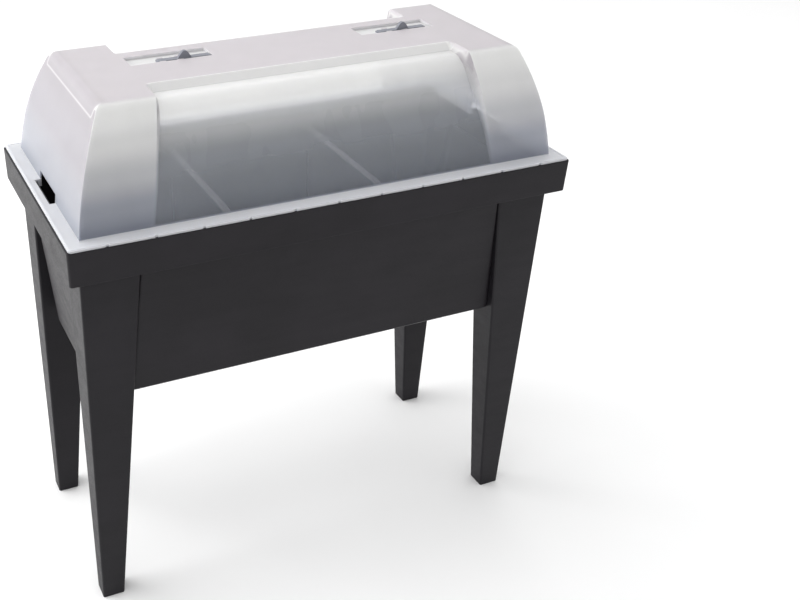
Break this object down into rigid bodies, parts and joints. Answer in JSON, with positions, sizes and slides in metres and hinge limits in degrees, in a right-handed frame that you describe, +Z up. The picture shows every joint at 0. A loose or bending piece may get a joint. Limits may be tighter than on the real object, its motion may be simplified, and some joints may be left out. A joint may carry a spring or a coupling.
{
  "type": "humidity dome planter tray on legs",
  "caption": "Raised rectangular growing tray on tapered legs with a clear lift-off humidity dome, sliding roof vents and drop-in dividers.",
  "frame": {"origin": "on the floor, at the centre of the four feet", "axes": "+X along the length to the right seen from the front, -Y the front, +Z up"},
  "size_m": [0.76, 0.368, 0.796],
  "materials": {
    "anthracite": "matte fine-textured moulded polypropylene",
    "frosted_clear": "satin frosted translucent polypropylene",
    "vent_grey": "satin moulded plastic"
  },
  "bodies": {
    "planter": {"tub": "anthracite", "leg_front_left": "anthracite", "leg_front_right": "anthracite", "leg_back_left": "anthracite", "leg_back_right": "anthracite"},
    "lid": {"dome_lid": "frosted_clear"},
    "vent_left": {"vent_slide_left": "vent_grey"},
    "vent_right": {"vent_slide_right": "vent_grey"},
    "divider_l": {"divider_left": "anthracite"},
    "divider_r": {"divider_right": "anthracite"},
    "plug": {"drain_plug": "vent_grey"}
  },
  "joints": [
    {"name": "lid_lift", "type": "slide", "parent": "planter", "child": "lid", "axis": [0, 0, 1], "range_m": [0, 0.25]},
    {"name": "vent_slide_left", "type": "slide", "parent": "lid", "child": "vent_left", "axis": [1, 0, 0], "range_m": [-0.04, 0]},
    {"name": "vent_slide_right", "type": "slide", "parent": "lid", "child": "vent_right", "axis": [1, 0, 0], "range_m": [-0.031, 0.009]},
    {"name": "divider_left_lift", "type": "slide", "parent": "planter", "child": "divider_l", "axis": [0, 0, 1], "range_m": [0, 0.025]},
    {"name": "divider_right_lift", "type": "slide", "parent": "planter", "child": "divider_r", "axis": [0, 0, 1], "range_m": [0, 0.025]},
    {"name": "drain_plug_pull", "type": "slide", "parent": "planter", "child": "plug", "axis": [0, 0, -1], "range_m": [0, 0.03]}
  ]
}
